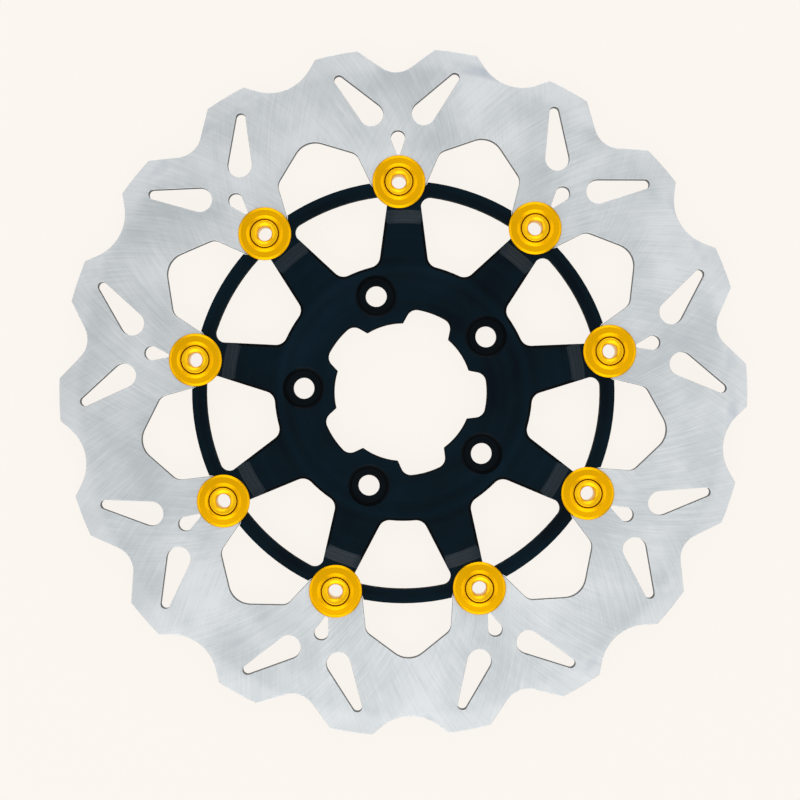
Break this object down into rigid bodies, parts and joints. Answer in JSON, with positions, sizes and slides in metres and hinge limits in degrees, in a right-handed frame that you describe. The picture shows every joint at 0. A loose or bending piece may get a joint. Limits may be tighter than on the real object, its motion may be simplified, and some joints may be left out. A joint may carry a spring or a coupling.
{
  "type": "motorcycle brake disc rotor",
  "caption": "Floating wave-edge brake disc: slotted steel friction ring hung on a black spoked aluminium carrier by gold riveted buttons.",
  "frame": {"origin": "centre of the bolt circle on the carrier's rear mounting face", "axes": "+Z along the wheel axis towards the outer side of the disc, +Y through the bolt hole that stands in line with a spoke"},
  "size_m": [0.3, 0.2988, 0.011],
  "materials": {
    "ring_steel": "ground and brushed stainless steel",
    "black_anodised": "machined, satin black anodised",
    "gold_anodised": "turned, bright gold anodised",
    "gold_rivet": "drawn and flared, gold anodised",
    "spring_steel": "blank spring steel",
    "washer_steel": "zinc plated, passivated"
  },
  "bodies": {
    "carrier": {"carrier": "black_anodised"},
    "friction_ring": {"friction_ring": "ring_steel"},
    "button_1": {"bobbin_1": "gold_anodised", "rivet_1": "gold_rivet", "wave_washer_1": "spring_steel", "flat_washer_1": "washer_steel"},
    "button_2": {"bobbin_2": "gold_anodised", "rivet_2": "gold_rivet", "wave_washer_2": "spring_steel", "flat_washer_2": "washer_steel"},
    "button_3": {"bobbin_3": "gold_anodised", "rivet_3": "gold_rivet", "wave_washer_3": "spring_steel", "flat_washer_3": "washer_steel"},
    "button_4": {"bobbin_4": "gold_anodised", "rivet_4": "gold_rivet", "wave_washer_4": "spring_steel", "flat_washer_4": "washer_steel"},
    "button_5": {"bobbin_5": "gold_anodised", "rivet_5": "gold_rivet", "wave_washer_5": "spring_steel", "flat_washer_5": "washer_steel"},
    "button_6": {"bobbin_6": "gold_anodised", "rivet_6": "gold_rivet", "wave_washer_6": "spring_steel", "flat_washer_6": "washer_steel"},
    "button_7": {"bobbin_7": "gold_anodised", "rivet_7": "gold_rivet", "wave_washer_7": "spring_steel", "flat_washer_7": "washer_steel"},
    "button_8": {"bobbin_8": "gold_anodised", "rivet_8": "gold_rivet", "wave_washer_8": "spring_steel", "flat_washer_8": "washer_steel"},
    "button_9": {"bobbin_9": "gold_anodised", "rivet_9": "gold_rivet", "wave_washer_9": "spring_steel", "flat_washer_9": "washer_steel"}
  },
  "joints": [
    {"name": "ring_float", "type": "slide", "parent": "carrier", "child": "friction_ring", "axis": [0, 0, 1], "range_m": [-0.00025, 0.00025]},
    {"name": "button_1_turn", "type": "hinge", "parent": "carrier", "child": "button_1", "pos_m": [-0.00224, 0.09162, 0], "axis": [0, 0, 1], "continuous": true},
    {"name": "button_2_turn", "type": "hinge", "parent": "carrier", "child": "button_2", "pos_m": [-0.06061, 0.06875, 0], "axis": [0, 0, 1], "continuous": true},
    {"name": "button_3_turn", "type": "hinge", "parent": "carrier", "child": "button_3", "pos_m": [-0.09062, 0.0137, 0], "axis": [0, 0, 1], "continuous": true},
    {"name": "button_4_turn", "type": "hinge", "parent": "carrier", "child": "button_4", "pos_m": [-0.07823, -0.04775, 0], "axis": [0, 0, 1], "continuous": true},
    {"name": "button_5_turn", "type": "hinge", "parent": "carrier", "child": "button_5", "pos_m": [-0.02923, -0.08686, 0], "axis": [0, 0, 1], "continuous": true},
    {"name": "button_6_turn", "type": "hinge", "parent": "carrier", "child": "button_6", "pos_m": [0.03344, -0.08533, 0], "axis": [0, 0, 1], "continuous": true},
    {"name": "button_7_turn", "type": "hinge", "parent": "carrier", "child": "button_7", "pos_m": [0.08047, -0.04387, 0], "axis": [0, 0, 1], "continuous": true},
    {"name": "button_8_turn", "type": "hinge", "parent": "carrier", "child": "button_8", "pos_m": [0.08984, 0.01812, 0], "axis": [0, 0, 1], "continuous": true},
    {"name": "button_9_turn", "type": "hinge", "parent": "carrier", "child": "button_9", "pos_m": [0.05718, 0.07163, 0], "axis": [0, 0, 1], "continuous": true}
  ]
}
